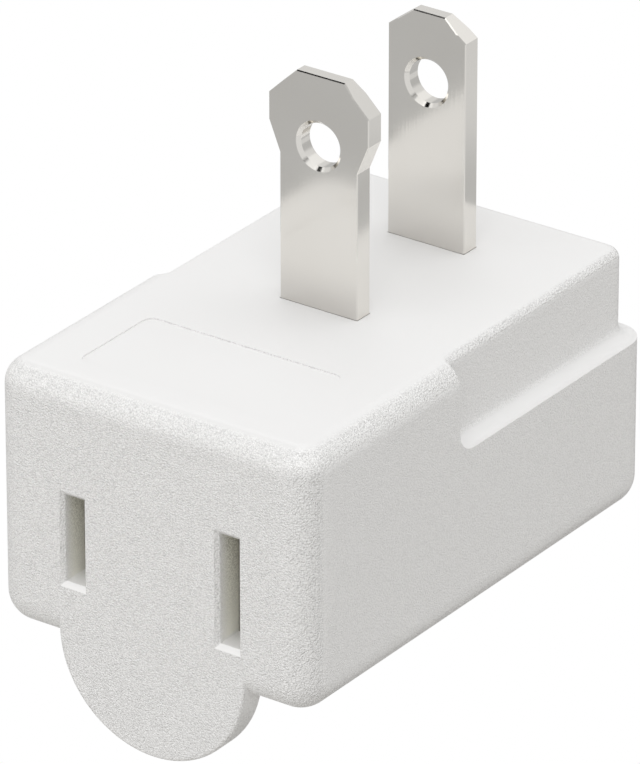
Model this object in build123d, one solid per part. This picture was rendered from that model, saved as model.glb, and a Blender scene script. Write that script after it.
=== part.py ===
"""Right angle plug adapter: a moulded body with two blades on one face and a two slot outlet on the next.

Millimetres, +Z up along the blades. The origin lies midway between the two blades, on the face that they
stand on. The outlet faces -Y.
"""
import os

from build123d import *

os.makedirs("parts", exist_ok=True)

# Plug blades
blade_spacing = 12.7
blade_width = 6.35
blade_thickness = 1.5
blade_length = 17.05
blade_tail = 13.5
blade_bevel = 0.07
tip_taper_length = 0.9
tip_taper_depth = 0.26
neutral_head_width = 8.15
neutral_head_length = 4.05
neutral_shoulder_run = 2.2
neutral_corner_run = 2.12
neutral_corner_drop = 2.05
hot_corner_run = 1.88
hot_corner_drop = 1.4
blade_hole_diameter = 3.18
blade_hole_setback = 5.0
blade_hole_rim = 0.26

# Outer body
front_to_blades = 26.1
body_shift = -0.3
upright_radius = 2.35
top_radius = 1.8
bottom_radius = 2.3

# Grip rebate round the rear of the body
rebate_start = 17.4
rebate_depth = 1.25
rebate_drop = 6.7
rebate_hollow = 1.05
rebate_end_radius = 1.6
rebate_corner_radius = 1.3
rebate_rim_radius = 0.75

# Pull tab below the outlet face
tab_radius = 7.65
tab_centre_rise = 1.2
tab_thickness = 2.3
tab_edge_radius = 0.3

# Label panel in the blade face
label_centre = -0.66
label_width = 16.0
label_length = 8.1
label_setback = 3.5
label_depth = 0.1
label_corner_radius = 0.75

# Outlet slots
slot_spacing = 12.7
slot_drop = 11.6
slot_width = 1.6
hot_slot_height = 6.5
neutral_slot_height = 8.2
lead_in_width = 0.27
lead_in_height = 0.34
lead_in_depth = 0.33

# Walls of the body round the inner carrier
front_wall = 2.4
rear_wall = 4.75
side_wall = 3.0
top_wall = 2.0
bottom_wall = 2.1

# Inner carrier, in two halves
carrier_cover_height = 5.2
carrier_window_wall = 1.0
carrier_side_wall = 1.7
carrier_end_wall = 1.3
carrier_floor = 1.1
bay_room = 0.35

# Contact strips
strip = 0.5
trough_gap = 2.2
grip_gap = 1.1
mouth_gap = 2.4
mouth_run = 3.45
spring_run = 5.3
spring_lift = 0.5
blade_gap = 0.4
bend_radius = 0.8
tab_overhang = 0.5

# Rivets that join each contact strip to its blade
rivet_diameter = 2.4
rivet_head_diameter = 4.0
rivet_head_height = 0.8

# Clearances
fit = 0.1
close_fit = 0.03
cut_over = 1.0

# How near an edge has to be to the place that picks it out
nearby = 0.01

# Slots, blades and contact strips: places that follow from the sizes
neutral_y = -blade_spacing / 2
hot_y = blade_spacing / 2
neutral_slot_x = body_shift + slot_spacing / 2
hot_slot_x = body_shift - slot_spacing / 2
strip_outside = trough_gap / 2 + strip
trough_top = -slot_drop - neutral_slot_height / 2 - fit
trough_bottom = trough_top - strip

# Carrier round the contact strips
front_y = -front_to_blades
carrier_front = front_y + front_wall
carrier_back = hot_y + blade_thickness / 2 + strip + rivet_head_height + carrier_end_wall
carrier_top = -top_wall
carrier_split = carrier_top - carrier_cover_height
carrier_bottom = trough_bottom - carrier_floor
carrier_width = slot_spacing + 2 * (strip_outside + bay_room + carrier_side_wall)

# Body round the carrier
body_width = carrier_width + 2 * side_wall
body_bottom = carrier_bottom - bottom_wall
back_y = carrier_back + rear_wall
tab_centre_z = body_bottom + tab_centre_rise

# Places along and up the contact strips
bay_front = carrier_front + carrier_window_wall
mouth_y = bay_front + bay_room
grip_y = mouth_y + mouth_run
root_y = grip_y + spring_run
trough_back = neutral_y - blade_thickness / 2 - blade_gap
contact_top = carrier_split - fit
run_bottom = -blade_tail + fit
rivet_z = (contact_top - blade_tail) / 2
tab_reach = rivet_head_diameter / 2 + tab_overhang


def span(start, end):
    return (min(start, end), max(start, end))


def around(centre, size):
    return (centre - size / 2, centre + size / 2)


def block(x, y, z):
    centre = Pos(sum(x) / 2, sum(y) / 2, sum(z) / 2)
    return centre * Box(x[1] - x[0], y[1] - y[0], z[1] - z[0])


def rod(x, y, z, diameter):
    return Pos(x, sum(y) / 2, z) * Rot(90, 0, 0) * Cylinder(diameter / 2, y[1] - y[0])


# Outer body
def rounded_body():
    body = block(around(body_shift, body_width), (front_y, back_y), (body_bottom, 0))
    body = fillet(body.edges().filter_by(Axis.Z), upright_radius)
    body = fillet(body.edges().group_by(Axis.Z)[0], bottom_radius)
    return fillet(body.edges().group_by(Axis.Z)[-1], top_radius)


def rebate_void():
    """The space that the rebate takes from the rounded body, with its hollow corner."""
    start_y = front_y + rebate_start
    core_width = body_width - 2 * rebate_depth
    core_back = back_y - rebate_depth
    solid = block(
        around(body_shift, body_width + 2 * cut_over),
        (front_y - cut_over, back_y + cut_over),
        (body_bottom - cut_over, 0),
    )
    slab = block(
        around(body_shift, body_width + 4 * cut_over),
        (start_y, back_y + 2 * cut_over),
        (-rebate_drop, cut_over),
    )
    lower_edges = slab.edges().filter_by(Axis.X).group_by(Axis.Z)[0]
    slab = fillet(lower_edges.sort_by(Axis.Y)[0], rebate_end_radius)
    core = block(around(body_shift, core_width), (front_y, core_back), (body_bottom, 0))
    core = fillet(core.edges().filter_by(Axis.Z).group_by(Axis.Y)[-1], rebate_corner_radius)
    stepped = (solid - slab) + core
    ledge = ShapeList(
        edge
        for edge in stepped.edges().filter_by(Axis.Y)
        if abs(edge.center().Z + rebate_drop) < nearby and edge.center().Y > start_y
    )
    inner_ledge = ledge.sort_by(lambda edge: abs(edge.center().X - body_shift))[:2]
    stepped = stepped.fillet(rebate_hollow, inner_ledge)
    rim = stepped.faces().sort_by(Axis.Z)[-1].edges()
    rear_rim = [edge for edge in rim if edge.center().Y > start_y + nearby]
    stepped = stepped.fillet(rebate_rim_radius, rear_rim)
    region = block(
        around(body_shift, body_width + 2 * cut_over),
        (front_y, back_y + cut_over),
        (-rebate_drop - cut_over, cut_over),
    )
    return region - stepped


def pull_tab():
    back = front_y + tab_thickness
    disc = rod(body_shift, (front_y, back), tab_centre_z, 2 * tab_radius)
    lower = block(
        around(body_shift, 2 * (tab_radius + cut_over)),
        (front_y - cut_over, back + cut_over),
        (tab_centre_z - tab_radius - cut_over, tab_centre_z),
    )
    half_disc = disc & lower
    neck = block(around(body_shift, 2 * tab_radius), (front_y, back), (tab_centre_z, -slot_drop))
    tab = half_disc + neck
    across = tab.edges().filter_by(Axis.Y, reverse=True)
    outline = [edge for edge in across if edge.center().Z < -slot_drop - nearby]
    return fillet(outline, tab_edge_radius)


def label_panel():
    panel = block(
        around(label_centre, label_width),
        (front_y + label_setback, front_y + label_setback + label_length),
        (-label_depth, cut_over),
    )
    return fillet(panel.edges().filter_by(Axis.Z), label_corner_radius)


def slot_opening(x, height):
    """One outlet slot through the front wall, with its flared mouth."""
    opening = block(
        around(x, slot_width),
        (front_y - cut_over, carrier_front + cut_over),
        around(-slot_drop, height),
    )
    inner = Plane((x, front_y + lead_in_depth, -slot_drop), x_dir=(1, 0, 0), z_dir=(0, -1, 0))
    outer = Plane((x, front_y, -slot_drop), x_dir=(1, 0, 0), z_dir=(0, -1, 0))
    mouth = loft([
        inner * Rectangle(slot_width, height),
        outer * Rectangle(slot_width + 2 * lead_in_width, height + 2 * lead_in_height),
    ])
    return opening + mouth


def blade_passage(y, bottom, top, clearance):
    return block(
        around(0, blade_width + 2 * clearance),
        around(y, blade_thickness + 2 * clearance),
        (bottom, top),
    )


def carrier_block(bottom, top):
    return block(around(body_shift, carrier_width), (carrier_front, carrier_back), (bottom, top))


def outer_body():
    body = rounded_body() - rebate_void()
    body += pull_tab()
    body -= label_panel()
    body -= carrier_block(carrier_bottom, carrier_top)
    body -= slot_opening(neutral_slot_x, neutral_slot_height)
    body -= slot_opening(hot_slot_x, hot_slot_height)
    for y in (neutral_y, hot_y):
        body -= blade_passage(y, carrier_top - cut_over, cut_over, close_fit)
    return body


# Plug blades
def blade(y, right_side):
    """A flat blade with bevelled edges, a thinned tip and its two holes."""
    left_side = [(-x, z) for x, z in reversed(right_side)]
    face = make_face(Polyline(right_side + left_side, close=True))
    solid = Rot(90, 0, 0) * extrude(face, blade_thickness / 2, both=True)
    half = blade_thickness / 2
    taper_start = blade_length - tip_taper_length
    for side in (1, -1):
        section = [
            (side * half, taper_start),
            (side * (half - tip_taper_depth), blade_length),
            (side * (half - tip_taper_depth), blade_length + cut_over),
            (side * (half + cut_over), blade_length + cut_over),
            (side * (half + cut_over), taper_start),
        ]
        wedge = extrude(Plane.YZ * make_face(Polyline(section, close=True)), neutral_head_width, both=True)
        solid -= wedge
    broad_faces = solid.faces().filter_by(lambda item: abs(item.normal_at().Y) > 0.5)
    rims = ShapeList(
        edge
        for item in broad_faces
        for edge in item.edges()
        if abs(edge.center().Z - taper_start) > nearby
    )
    solid = chamfer(rims, blade_bevel)
    solid -= rod(0, around(0, 2 * blade_thickness), blade_length - blade_hole_setback, blade_hole_diameter)
    solid = chamfer(solid.edges().filter_by(GeomType.CIRCLE), blade_hole_rim)
    solid -= rod(0, around(0, 2 * blade_thickness), rivet_z, rivet_diameter + 2 * close_fit)
    return Pos(0, y, 0) * solid


def neutral_blade():
    half = blade_width / 2
    head = neutral_head_width / 2
    head_start = blade_length - neutral_head_length
    return blade(neutral_y, [
        (half, -blade_tail),
        (half, head_start - neutral_shoulder_run),
        (head, head_start),
        (head, blade_length - neutral_corner_drop),
        (head - neutral_corner_run, blade_length),
    ])


def hot_blade():
    half = blade_width / 2
    return blade(hot_y, [
        (half, -blade_tail),
        (half, blade_length - hot_corner_drop),
        (half - hot_corner_run, blade_length),
    ])


# Contact strips
def contact(slot_x, outward, blade_y):
    """A spring trough behind one slot, with a strip that runs back to the tail of its blade."""
    parts = []
    for side in (1, -1):
        inner = [(mouth_gap / 2, mouth_y), (grip_gap / 2, grip_y), (trough_gap / 2, root_y)]
        outer = [(offset + strip, y) for offset, y in reversed(inner)]
        outline = [(slot_x + side * offset, y) for offset, y in inner + outer]
        spring_bottom = trough_top + spring_lift
        spring = extrude(make_face(Polyline(outline, close=True)), contact_top - spring_bottom)
        parts.append(Pos(0, 0, spring_bottom) * spring)
        wall = span(slot_x + side * trough_gap / 2, slot_x + side * strip_outside)
        parts.append(block(wall, (root_y, trough_back), (trough_bottom, contact_top)))
    floor = block(around(slot_x, 2 * strip_outside), (root_y, trough_back), (trough_bottom, trough_top))
    tab_front = blade_y + blade_thickness / 2
    tab_back = tab_front + strip
    run_outside = slot_x + outward * strip_outside
    run_inside = run_outside - outward * strip
    elbow = make_face(Polyline([
        (run_outside, root_y),
        (run_outside, tab_back),
        (-outward * tab_reach, tab_back),
        (-outward * tab_reach, tab_front),
        (run_inside, tab_front),
        (run_inside, root_y),
    ], close=True))
    outer_corner = elbow.vertices().sort_by(lambda v: (v.X - run_outside) ** 2 + (v.Y - tab_back) ** 2)[0]
    elbow = fillet(outer_corner, bend_radius)
    inner_corner = elbow.vertices().sort_by(lambda v: (v.X - run_inside) ** 2 + (v.Y - tab_front) ** 2)[0]
    elbow = fillet(inner_corner, bend_radius - strip)
    run = Pos(0, 0, run_bottom) * extrude(elbow, contact_top - run_bottom)
    solid = floor + run
    for item in parts:
        solid += item
    hole = rod(0, around(tab_front, 2 * blade_thickness), rivet_z, rivet_diameter + 2 * close_fit)
    return solid - hole


# Rivets
def rivet(blade_y):
    front = blade_y - blade_thickness / 2
    back = blade_y + blade_thickness / 2 + strip
    solid = rod(0, (front, back), rivet_z, rivet_diameter)
    solid += rod(0, (front - rivet_head_height, front), rivet_z, rivet_head_diameter)
    solid += rod(0, (back, back + rivet_head_height), rivet_z, rivet_head_diameter)
    return solid


# Inner carrier
def blade_pocket(blade_y, slot_x, outward):
    """Room in the carrier for a blade tail, its rivet heads and the strip that meets it."""
    over = carrier_split + cut_over
    tail = blade_passage(blade_y, -blade_tail, over, fit)
    front = blade_y - blade_thickness / 2
    tab_front = blade_y + blade_thickness / 2
    tab_back = tab_front + strip
    heads = block(
        around(0, rivet_head_diameter + 2 * fit),
        (front - rivet_head_height - fit, tab_back + rivet_head_height + fit),
        (rivet_z - rivet_head_diameter / 2 - fit, over),
    )
    run_outside = slot_x + outward * (strip_outside + fit)
    run_inside = slot_x + outward * (trough_gap / 2 - fit)
    cross = block(
        span(run_outside, -outward * (tab_reach + fit)),
        (tab_front - fit, tab_back + fit),
        (run_bottom, over),
    )
    along = block(
        span(run_outside, run_inside),
        span(trough_back, tab_back + fit),
        (run_bottom, over),
    )
    return tail + heads + cross + along


def contact_bay(slot_x, slot_height):
    bay = block(
        around(slot_x, 2 * (strip_outside + bay_room)),
        (bay_front, trough_back + bay_room),
        (trough_bottom, carrier_split + cut_over),
    )
    window = block(
        around(slot_x, slot_width + 2 * fit),
        (carrier_front - cut_over, bay_front + fit),
        around(-slot_drop, slot_height + 2 * fit),
    )
    return bay + window


def carrier_base():
    base = carrier_block(carrier_bottom, carrier_split)
    base -= contact_bay(neutral_slot_x, neutral_slot_height)
    base -= contact_bay(hot_slot_x, hot_slot_height)
    base -= blade_pocket(neutral_y, neutral_slot_x, 1)
    base -= blade_pocket(hot_y, hot_slot_x, -1)
    return base


def carrier_cover():
    cover = carrier_block(carrier_split, carrier_top)
    for y in (neutral_y, hot_y):
        cover -= blade_passage(y, carrier_split - cut_over, carrier_top + cut_over, fit)
    return cover


nodes = {
    "outer_body": outer_body(),
    "neutral_blade": neutral_blade(),
    "hot_blade": hot_blade(),
    "neutral_contact": contact(neutral_slot_x, 1, neutral_y),
    "hot_contact": contact(hot_slot_x, -1, hot_y),
    "neutral_rivet": rivet(neutral_y),
    "hot_rivet": rivet(hot_y),
    "carrier_base": carrier_base(),
    "carrier_cover": carrier_cover(),
}

for name, shape in nodes.items():
    export_step(shape, f"parts/{name}.step")
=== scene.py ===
import math

import bpy
from mathutils import Matrix, Vector


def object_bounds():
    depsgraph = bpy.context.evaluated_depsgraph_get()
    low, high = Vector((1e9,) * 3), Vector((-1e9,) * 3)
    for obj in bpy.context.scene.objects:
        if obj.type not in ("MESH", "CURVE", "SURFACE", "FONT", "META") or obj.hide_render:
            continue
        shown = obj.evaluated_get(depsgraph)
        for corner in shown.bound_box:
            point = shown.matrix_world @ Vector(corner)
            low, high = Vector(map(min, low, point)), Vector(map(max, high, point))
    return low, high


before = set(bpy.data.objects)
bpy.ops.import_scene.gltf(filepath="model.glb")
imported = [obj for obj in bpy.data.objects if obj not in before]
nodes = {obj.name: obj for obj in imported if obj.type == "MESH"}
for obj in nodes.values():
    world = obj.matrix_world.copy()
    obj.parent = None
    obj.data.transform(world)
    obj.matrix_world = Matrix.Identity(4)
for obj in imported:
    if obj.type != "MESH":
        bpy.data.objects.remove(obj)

cad_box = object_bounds()

MM = 0.001


# Node helpers
def new_material(name):
    material = bpy.data.materials.new(name)
    material.use_nodes = True
    tree = material.node_tree
    return material, tree, tree.nodes["Principled BSDF"]


def add(tree, kind, **settings):
    node = tree.nodes.new(kind)
    for key, value in settings.items():
        setattr(node, key, value)
    return node


def calculated(tree, operation, *values):
    node = add(tree, "ShaderNodeMath", operation=operation)
    for socket, value in zip(node.inputs, values):
        tree.links.new(value, socket)
    return node.outputs[0]


def multiplied(tree, *values):
    result = values[0]
    for value in values[1:]:
        result = calculated(tree, "MULTIPLY", result, value)
    return result


def mapped(tree, value, low, high, to_low=0.0, to_high=1.0, smooth=False):
    node = add(tree, "ShaderNodeMapRange", interpolation_type="SMOOTHSTEP" if smooth else "LINEAR")
    node.inputs["From Min"].default_value = low
    node.inputs["From Max"].default_value = high
    node.inputs["To Min"].default_value = to_low
    node.inputs["To Max"].default_value = to_high
    tree.links.new(value, node.inputs["Value"])
    return node.outputs["Result"]


def mixed(tree, factor, first, second):
    node = add(tree, "ShaderNodeMix", data_type="RGBA")
    for name, colour in (("A", first), ("B", second)):
        if isinstance(colour, tuple):
            node.inputs[name].default_value = (*colour, 1)
        else:
            tree.links.new(colour, node.inputs[name])
    tree.links.new(factor, node.inputs["Factor"])
    return node.outputs["Result"]


def blended(tree, factor, first, second):
    node = add(tree, "ShaderNodeMixShader")
    tree.links.new(factor, node.inputs["Fac"])
    tree.links.new(first, node.inputs[1])
    tree.links.new(second, node.inputs[2])
    return node.outputs["Shader"]


def parts_of(tree, vector):
    """The X, Y and Z of a vector."""
    node = add(tree, "ShaderNodeSeparateXYZ")
    tree.links.new(vector, node.inputs["Vector"])
    return node.outputs


def object_place(tree):
    return add(tree, "ShaderNodeTexCoord").outputs["Object"]


def distance_along(tree, direction):
    """How far each point lies along a direction."""
    node = add(tree, "ShaderNodeVectorMath", operation="DOT_PRODUCT")
    node.inputs[1].default_value = direction
    tree.links.new(object_place(tree), node.inputs[0])
    return node.outputs["Value"]


def facing_way(tree):
    """The surface's own direction, as X, Y and Z."""
    return parts_of(tree, add(tree, "ShaderNodeTexCoord").outputs["Normal"])


def noise(tree, scale, detail=2.0, place=None):
    node = add(tree, "ShaderNodeTexNoise")
    node.inputs["Scale"].default_value = scale
    node.inputs["Detail"].default_value = detail
    tree.links.new(object_place(tree) if place is None else place, node.inputs["Vector"])
    return node.outputs["Fac"]


def bumped(tree, height, strength, distance):
    node = add(tree, "ShaderNodeBump")
    node.inputs["Strength"].default_value = strength
    node.inputs["Distance"].default_value = distance
    tree.links.new(height, node.inputs["Height"])
    return node.outputs["Normal"]


# Places on the part, as ranges over which a mask fades
FRONT = cad_box[0][1]
SLOT_MOUTH = (FRONT + 0.4 * MM, FRONT + 1.4 * MM)
SLOT_END = (FRONT + 2.6 * MM, FRONT + 2.8 * MM)
SLOT_SIDE = (8.5 * MM, 9.0 * MM)
SLOT_BOTTOM = (-15.8 * MM, -15.4 * MM)
SLOT_TOP = (-7.5 * MM, -7.1 * MM)
SLOT_HEIGHT = (-15.0 * MM, -8.0 * MM)
LEDGE_LEVEL = (-4.0 * MM, -3.5 * MM)
BLADE_FOOT = (0.0, 3.5 * MM)

# Ways that a surface faces: how far up, how far sideways, and to the front
LEDGE_UP = (0.1, 0.6)
ROUNDS_START, ROUNDS_STOP = (0.14, 0.42), (0.87, 0.98)
CREST_START, CREST_STOP = (0.90, 0.955), (0.965, 0.9998)
TOP_START = (0.84, 0.997)
OFF_CREST_SIDE = (0.05, 0.15)
SIDE_ROUNDS = (0.2, 0.5)
SIDE_START = (0.9, 0.99)
BLADE_FRONT = (-0.9, -0.5)

# Mould texture of the body
GRAIN_SCALE = 8500.0
GRAIN_RANDOMNESS = 0.85
GRAIN_DEPTH = 0.12 * MM
GRAIN_SPREAD = (0.2, 0.9)
PIT_EDGES = (0.3, 0.75)
DEPTH_ON_SIDES, DEPTH_ON_TOP, DEPTH_IN_SLOTS = 0.5, 0.02, 0.3
# Share of the painted light on the roundings that the front roundings get
PAINTED_LIGHT_ON_FRONT_ROUNDS = 0.4
PLASTIC_CLOUDS = 60.0
PLASTIC_ROUGHNESS = (0.5, 0.62)

# Surface of the blades
NICKEL_CLOUDS, NICKEL_CLOUD_DETAIL = 180.0, 3.0
NICKEL_CLOUD_EDGES = (0.3, 0.7)
NICKEL_ROUGHNESS = (0.10, 0.15)
ROLLING_MARKS, ROLLING_STRENGTH = 9000.0, 0.012
ROLLING_STRETCH = (1.0, 1.0, 0.03)

# Surface of more than one material
CLOUD_EDGES = (0.35, 0.65)
FINE_DEPTH = 0.1 * MM

# Colours
PLASTIC_TONES = (0.888, 0.883, 0.876), (0.898, 0.894, 0.888)
# Painted shade: darker along the top front crest, to dim the light that falls there
CREST_PAINTED_SHADE = (0.835, 0.83, 0.823)
# Painted light: paler on the roundings at the sides, where light falls strongly
ROUNDS_PAINTED_LIGHT = (0.99, 0.985, 0.975)
PLASTIC_PITS = (0.72, 0.715, 0.71)
# Grain pits on the roundings, made paler by the painted light there
ROUND_PITS_PAINTED_LIGHT = (0.78, 0.775, 0.765)
# Painted light: paler floors in the slots, lit from the front
SLOT_FLOORS_PAINTED_LIGHT = (0.96, 0.96, 0.95)
# Painted light: a pale yellow tint for the light inside the slots
SLOT_WALLS_PAINTED_TINT = (0.98, 0.97, 0.88)
# Grain pits on the slot walls, with painted shade: dark high up under the slot roof, pale low down
SLOT_PITS_PAINTED_SHADE_HIGH = (0.55, 0.54, 0.46)
SLOT_PITS_PAINTED_LIGHT_LOW = (0.98, 0.97, 0.90)
NICKEL_TONES = (0.800, 0.777, 0.734), (0.820, 0.800, 0.761)
# Painted shade: the front faces of the blades, darker near their feet
NICKEL_FOOT_PAINTED_SHADE = (0.69, 0.67, 0.64)
CARRIER_TONES = (0.60, 0.58, 0.52), (0.66, 0.64, 0.58)
BRASS_TONES = (0.62, 0.48, 0.24), (0.74, 0.60, 0.34)


# Materials
def inside_slots(tree):
    """1 on the walls of the outlet slots in the front wall, and 0 outside them."""
    place = parts_of(tree, object_place(tree))
    return multiplied(
        tree,
        mapped(tree, place["Y"], *SLOT_MOUTH),
        mapped(tree, place["Y"], *SLOT_END, 1.0, 0.0),
        mapped(tree, calculated(tree, "ABSOLUTE", place["X"]), *SLOT_SIDE, 1.0, 0.0),
        mapped(tree, place["Z"], *SLOT_BOTTOM),
        mapped(tree, place["Z"], *SLOT_TOP, 1.0, 0.0),
    )


def spark_grain(tree):
    """The eroded texture of the mould, in cells: 0 at their middles and about 1 at their corners."""
    cells = add(tree, "ShaderNodeTexVoronoi", feature="F1")
    cells.inputs["Scale"].default_value = GRAIN_SCALE
    cells.inputs["Randomness"].default_value = GRAIN_RANDOMNESS
    tree.links.new(object_place(tree), cells.inputs["Vector"])
    return cells.outputs["Distance"]


def body_plastic():
    """White moulding with a fine texture, which fades on the flat top and is shallower on the sides; with
    painted light on the roundings, painted shade on the top front crest, and painted light and shade in
    the slots.
    """
    material, tree, shader = new_material("white_plastic")
    way = facing_way(tree)
    up = way["Z"]
    sideways = calculated(tree, "ABSOLUTE", way["X"])
    height = parts_of(tree, object_place(tree))["Z"]

    ledges = multiplied(
        tree,
        mapped(tree, up, *LEDGE_UP, smooth=True),
        mapped(tree, height, *LEDGE_LEVEL, 1.0, 0.0),
    )
    off_ledges = mapped(tree, ledges, 0.0, 1.0, 1.0, 0.0)
    # Where painted light makes the roundings paler, most on the sides
    painted_round_light = multiplied(
        tree,
        mapped(tree, up, *ROUNDS_START, smooth=True),
        mapped(tree, up, *ROUNDS_STOP, 1.0, 0.0, smooth=True),
        mapped(tree, sideways, *SIDE_ROUNDS, PAINTED_LIGHT_ON_FRONT_ROUNDS, 1.0),
        off_ledges,
    )
    # Where painted shade dims the light on the top front crest
    painted_crest_shade = multiplied(
        tree,
        mapped(tree, up, *CREST_START, smooth=True),
        mapped(tree, up, *CREST_STOP, 1.0, 0.0, smooth=True),
        mapped(tree, sideways, *OFF_CREST_SIDE, 1.0, 0.0),
        off_ledges,
    )
    slots = inside_slots(tree)
    slot_walls = multiplied(tree, slots, off_ledges)
    depth = multiplied(
        tree,
        mapped(tree, sideways, *SIDE_START, 1.0, DEPTH_ON_SIDES, smooth=True),
        off_ledges,
        mapped(tree, up, *TOP_START, 1.0, DEPTH_ON_TOP, smooth=True),
    )

    colour = mixed(tree, mapped(tree, noise(tree, PLASTIC_CLOUDS), *CLOUD_EDGES), *PLASTIC_TONES)
    colour = mixed(tree, painted_crest_shade, colour, CREST_PAINTED_SHADE)
    colour = mixed(tree, painted_round_light, colour, ROUNDS_PAINTED_LIGHT)
    # Painted light on the slot floors
    colour = mixed(tree, multiplied(tree, slots, ledges), colour, SLOT_FLOORS_PAINTED_LIGHT)
    # Painted tint of the light on the slot walls
    colour = mixed(tree, slot_walls, colour, SLOT_WALLS_PAINTED_TINT)
    grain = spark_grain(tree)
    hollows = mapped(tree, grain, *PIT_EDGES)
    pits = mixed(tree, painted_round_light, PLASTIC_PITS, ROUND_PITS_PAINTED_LIGHT)
    colour = mixed(tree, multiplied(tree, depth, hollows), colour, pits)
    # Grain pits in the slots, darker high up as painted shade from the slot roof
    slot_pits_painted_shade = mixed(tree, mapped(tree, height, *SLOT_HEIGHT), SLOT_PITS_PAINTED_LIGHT_LOW, SLOT_PITS_PAINTED_SHADE_HIGH)
    colour = mixed(tree, multiplied(tree, slot_walls, hollows), colour, slot_pits_painted_shade)
    tree.links.new(colour, shader.inputs["Base Color"])

    depth_by_slots = mapped(tree, slots, 0.0, 1.0, 1.0, DEPTH_IN_SLOTS)
    relief = multiplied(tree, noise(tree, GRAIN_SCALE, detail=0.0), depth, depth_by_slots)
    tree.links.new(bumped(tree, relief, 1.0, GRAIN_DEPTH), shader.inputs["Normal"])
    tree.links.new(mapped(tree, grain, *GRAIN_SPREAD, *PLASTIC_ROUGHNESS), shader.inputs["Roughness"])
    return material


def plated_metal():
    """Nickel plate over brass, with faint rolling marks along the blade, and painted shade on the front
    of the foot, where the metal mirrors the shade near the body.
    """
    material, tree, shader = new_material("plated_metal")
    shader.inputs["Metallic"].default_value = 1.0
    cloud = mapped(tree, noise(tree, NICKEL_CLOUDS, NICKEL_CLOUD_DETAIL), *NICKEL_CLOUD_EDGES)
    # Where painted shade darkens the front of the blade foot
    painted_foot_shade = multiplied(
        tree,
        mapped(tree, parts_of(tree, object_place(tree))["Z"], *BLADE_FOOT, 1.0, 0.0, smooth=True),
        mapped(tree, facing_way(tree)["Y"], *BLADE_FRONT, 1.0, 0.0),
    )
    colour = mixed(tree, painted_foot_shade, mixed(tree, cloud, *NICKEL_TONES), NICKEL_FOOT_PAINTED_SHADE)
    tree.links.new(colour, shader.inputs["Base Color"])
    stretch = add(tree, "ShaderNodeMapping")
    stretch.inputs["Scale"].default_value = ROLLING_STRETCH
    tree.links.new(object_place(tree), stretch.inputs["Vector"])
    marks = noise(tree, ROLLING_MARKS, place=stretch.outputs["Vector"])
    tree.links.new(bumped(tree, marks, ROLLING_STRENGTH, FINE_DEPTH), shader.inputs["Normal"])
    tree.links.new(mapped(tree, cloud, 0.0, 1.0, *NICKEL_ROUGHNESS), shader.inputs["Roughness"])
    return material


def plain_material(name, metallic, clouds, tones, grain, roughness):
    """Two close tones in soft clouds of a (scale, detail), under a fine grain of a (scale, strength)."""
    material, tree, shader = new_material(name)
    shader.inputs["Metallic"].default_value = metallic
    tone = mapped(tree, noise(tree, *clouds), *CLOUD_EDGES)
    tree.links.new(mixed(tree, tone, *tones), shader.inputs["Base Color"])
    scale, strength = grain
    tree.links.new(bumped(tree, noise(tree, scale), strength, FINE_DEPTH), shader.inputs["Normal"])
    tree.links.new(mapped(tree, tone, 0.0, 1.0, *roughness), shader.inputs["Roughness"])
    return material


def assign(material, *names):
    for name in names:
        for slot in nodes[name].material_slots:
            slot.material = material


assign(body_plastic(), "outer_body")
assign(plated_metal(), "neutral_blade", "hot_blade")
assign(
    plain_material(
        "carrier_plastic", metallic=0.0, clouds=(300.0, 2.0), tones=CARRIER_TONES,
        grain=(3000.0, 0.15), roughness=(0.55, 0.65),
    ),
    "carrier_base", "carrier_cover",
)
assign(
    plain_material(
        "contact_brass", metallic=1.0, clouds=(400.0, 4.0), tones=BRASS_TONES,
        grain=(5000.0, 0.05), roughness=(0.3, 0.42),
    ),
    "neutral_contact", "hot_contact", "neutral_rivet", "hot_rivet",
)


# Studio helpers
def grey(tone):
    return (tone,) * 3


def sees_backdrop(tree):
    """1 for rays from the camera, off a mirror or through glass, and 0 for those that light the scene."""
    path = add(tree, "ShaderNodeLightPath").outputs
    direct = calculated(tree, "MAXIMUM", path["Is Camera Ray"], path["Is Glossy Ray"])
    return calculated(tree, "MAXIMUM", direct, path["Is Transmission Ray"])


PAINT_ROUGHNESS = 0.9


def backdrop_paint(name, seen, lit):
    """Pale matt surface that the camera, and metal, see as a plain background."""
    material, tree, shader = new_material(name)
    shader.inputs["Base Color"].default_value = (*lit, 1)
    shader.inputs["Roughness"].default_value = PAINT_ROUGHNESS
    glow = add(tree, "ShaderNodeEmission")
    glow.inputs["Color"].default_value = (*grey(seen), 1)
    surface = blended(tree, sees_backdrop(tree), shader.outputs["BSDF"], glow.outputs["Emission"])
    tree.links.new(surface, tree.nodes["Material Output"].inputs["Surface"])
    return material


def glowing(name):
    """A material that only glows, its nodes, and the input for its colour."""
    material, tree, _ = new_material(name)
    glow = add(tree, "ShaderNodeEmission")
    tree.links.new(glow.outputs["Emission"], tree.nodes["Material Output"].inputs["Surface"])
    return material, tree, glow.inputs["Color"]


def stage_card(name, corners, faces, material):
    mesh = bpy.data.meshes.new(name)
    mesh.from_pydata(corners, [], faces)
    mesh.materials.append(material)
    card = bpy.data.objects.new(name, mesh)
    bpy.context.scene.collection.objects.link(card)
    return card


def mirrored_only(card):
    """Lets only the reflections see this card."""
    for kind in ("visible_camera", "visible_diffuse", "visible_transmission", "visible_shadow"):
        setattr(card, kind, False)


def level_rectangle(near, far, level):
    (left, front), (right, rear) = near, far
    return [(left, front, level), (right, front, level), (right, rear, level), (left, rear, level)]


ONE_FACE = [(0, 1, 2, 3)]


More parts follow.
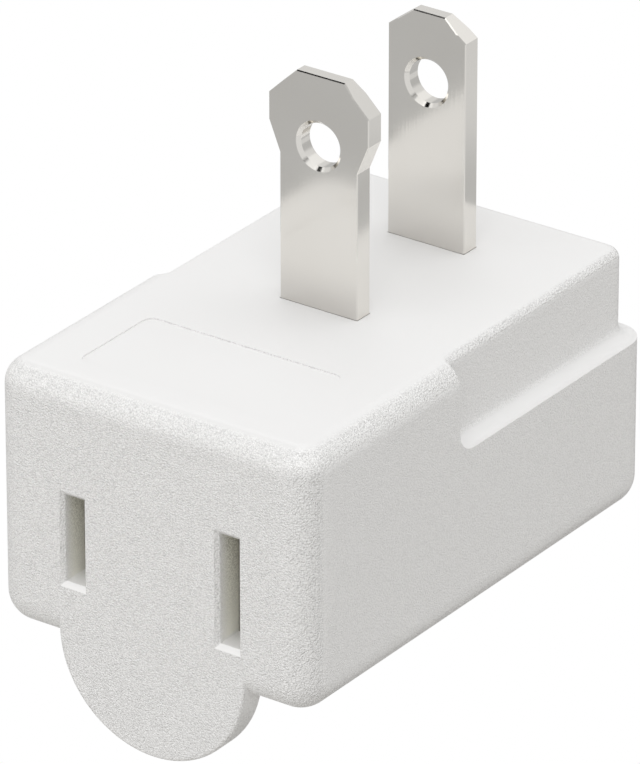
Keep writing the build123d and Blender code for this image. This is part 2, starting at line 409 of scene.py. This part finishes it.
# Floor
FLOOR_Z = -0.14
FLOOR_HALF = 1.6
FLOOR_SEEN = 1.0
FLOOR_LIT = (0.52, 0.505, 0.475)
stage_card(
    "studio_floor", level_rectangle((-FLOOR_HALF, -FLOOR_HALF), (FLOOR_HALF, FLOOR_HALF), FLOOR_Z),
    ONE_FACE, backdrop_paint("floor_paint", FLOOR_SEEN, FLOOR_LIT),
)


# Lamps, each a square softbox aimed at the origin
def soft_lamp(name, place, size, power):
    data = bpy.data.lights.new(name, "AREA")
    data.shape = "RECTANGLE"
    data.size = data.size_y = size
    data.energy = power
    lamp = bpy.data.objects.new(name, data)
    lamp.location = place
    lamp.rotation_mode = "QUATERNION"
    lamp.rotation_quaternion = (-Vector(place)).to_track_quat("-Z", "Y")
    bpy.context.scene.collection.objects.link(lamp)
    return lamp


soft_lamp("top_softbox", (0.0, 0.0, 0.77), size=0.9, power=1.51)
for lamp in (
    soft_lamp("right_front_softbox", (0.34, -0.52, 0.46), size=0.5, power=1.15),
    soft_lamp("right_back_softbox", (0.35, 0.25, 0.60), size=0.6, power=0.38),
    soft_lamp("front_softbox", (-0.30, -0.72, 0.03), size=0.6, power=1.77),
):
    lamp.visible_glossy = False


# What the metal mirrors: glowing cards seen only in reflections, as painted reflections
SURROUND_TURNS = 64
SURROUND_RINGS = [(0.02, -0.13), (0.24, -0.12), (0.28, -0.05), (0.29, 0.04), (0.28, 0.12), (0.25, 0.19)]
SURROUND_LOW, SURROUND_HIGH, SURROUND_OPEN = 0.54, 0.79, 0.81
SURROUND_RISE = (0.06, 0.13)
OPEN_DIRECTION = (0.8, -0.6, 0.0)
OPEN_FROM = (0.16, 0.2)


def surround():
    """Glowing grey wall round the part, seen only in reflections as a painted reflection: darker low
    down, paler at the open side.
    """
    corners = []
    for radius, height in SURROUND_RINGS:
        for i in range(SURROUND_TURNS):
            angle = 2 * math.pi * i / SURROUND_TURNS
            corners.append((radius * math.cos(angle), radius * math.sin(angle), height))
    faces = []
    for k in range(len(SURROUND_RINGS) - 1):
        low, high = k * SURROUND_TURNS, (k + 1) * SURROUND_TURNS
        for i in range(SURROUND_TURNS):
            j = (i + 1) % SURROUND_TURNS
            faces.append((low + i, low + j, high + j, high + i))
    material, tree, colour = glowing("painted_reflection_surround")
    risen = mapped(tree, parts_of(tree, object_place(tree))["Z"], *SURROUND_RISE, smooth=True)
    opened = mapped(tree, distance_along(tree, OPEN_DIRECTION), *OPEN_FROM, smooth=True)
    wall = mixed(tree, risen, grey(SURROUND_LOW), grey(SURROUND_HIGH))
    tree.links.new(mixed(tree, opened, wall, grey(SURROUND_OPEN)), colour)
    mirrored_only(stage_card("painted_reflection_surround", corners, faces, material))


BLADE_HEADS = Vector((0, 0, 0.014))


def flag(name, first, last, half_width, distance, tone):
    """Glowing strip from one direction to another, seen only in reflections as a painted reflection,
    which draws the dark lines in the bevels.
    """
    start, end = (Vector(way).normalized() * distance + BLADE_HEADS for way in (first, last))
    along = (end - start).normalized() * half_width
    across = along.cross(start + end).normalized() * half_width
    start, end = start - along, end + along
    corners = [start - across, end - across, end + across, start + across]
    material, _, colour = glowing(name)
    colour.default_value = (*grey(tone), 1)
    mirrored_only(stage_card(name, corners, ONE_FACE, material))


SHADE_FROM = (0.085, 0.094)
SHADE_DARK, SHADE_PALE = 0.55, 0.73


def shade_card(near, far, level, ahead):
    """Low card behind the body, which the blade edges mirror as the shade near the body."""
    material, tree, colour = glowing("shade_card")
    away = mapped(tree, distance_along(tree, ahead), *SHADE_FROM, smooth=True)
    tree.links.new(mixed(tree, away, grey(SHADE_DARK), grey(SHADE_PALE)), colour)
    mirrored_only(stage_card("shade_card", level_rectangle(near, far, level), ONE_FACE, material))


surround()
# Painted reflections: two black strips and a grey strip in the blade bevels
flag(
    "painted_reflection_dark_left", (-0.517, -0.443, 0.732), (-0.517, -0.22, 0.827),
    half_width=0.026, distance=0.2, tone=0.0,
)
flag(
    "painted_reflection_dark_right", (0.376, -0.672, 0.638), (0.392, -0.672, 0.628),
    half_width=0.006, distance=0.19, tone=0.0,
)
flag(
    "painted_reflection_grey", (0.28, -0.452, 0.84), (0.39, -0.67, 0.623),
    half_width=0.022, distance=0.2, tone=0.55,
)
shade_card(near=(0.0, 0.02), far=(0.2, 0.2), level=-0.03, ahead=(0.577, 0.817, 0.0))


# World
def sky(node, strength):
    node.inputs["Color"].default_value = (1, 1, 1, 1)
    node.inputs["Strength"].default_value = strength
    return node.outputs["Background"]


SKY_LIT = 0.64
SKY_SEEN = 1.0
world = bpy.data.worlds.new("studio")
world.use_nodes = True
bpy.context.scene.world = world
tree = world.node_tree
lit = sky(tree.nodes["Background"], SKY_LIT)
seen = sky(add(tree, "ShaderNodeBackground"), SKY_SEEN)
backdrop = blended(tree, sees_backdrop(tree), lit, seen)
tree.links.new(backdrop, tree.nodes["World Output"].inputs["Surface"])


# Camera
AZIMUTH = math.radians(35.228)
ELEVATION = math.radians(26.284)
CAMERA_PLACE = (0.29818, -0.42918, 0.24977)
SENSOR_MM = 36.0
LENS_MM = 402.0
NEAREST, FARTHEST = 0.01, 10.0

camera_data = bpy.data.cameras.new("photo_camera")
camera_data.sensor_fit = "AUTO"
camera_data.sensor_width = SENSOR_MM
camera_data.lens = LENS_MM
camera_data.clip_start = NEAREST
camera_data.clip_end = FARTHEST
camera = bpy.data.objects.new("photo_camera", camera_data)
bpy.context.scene.collection.objects.link(camera)
right = Vector((math.cos(AZIMUTH), math.sin(AZIMUTH), 0))
back = Vector((
    math.sin(AZIMUTH) * math.cos(ELEVATION),
    -math.cos(AZIMUTH) * math.cos(ELEVATION),
    math.sin(ELEVATION),
))
turn = Matrix((right, back.cross(right), back)).transposed().to_4x4()
camera.matrix_world = Matrix.Translation(CAMERA_PLACE) @ turn
bpy.context.scene.camera = camera

bpy.context.scene.view_settings.view_transform = "Standard"
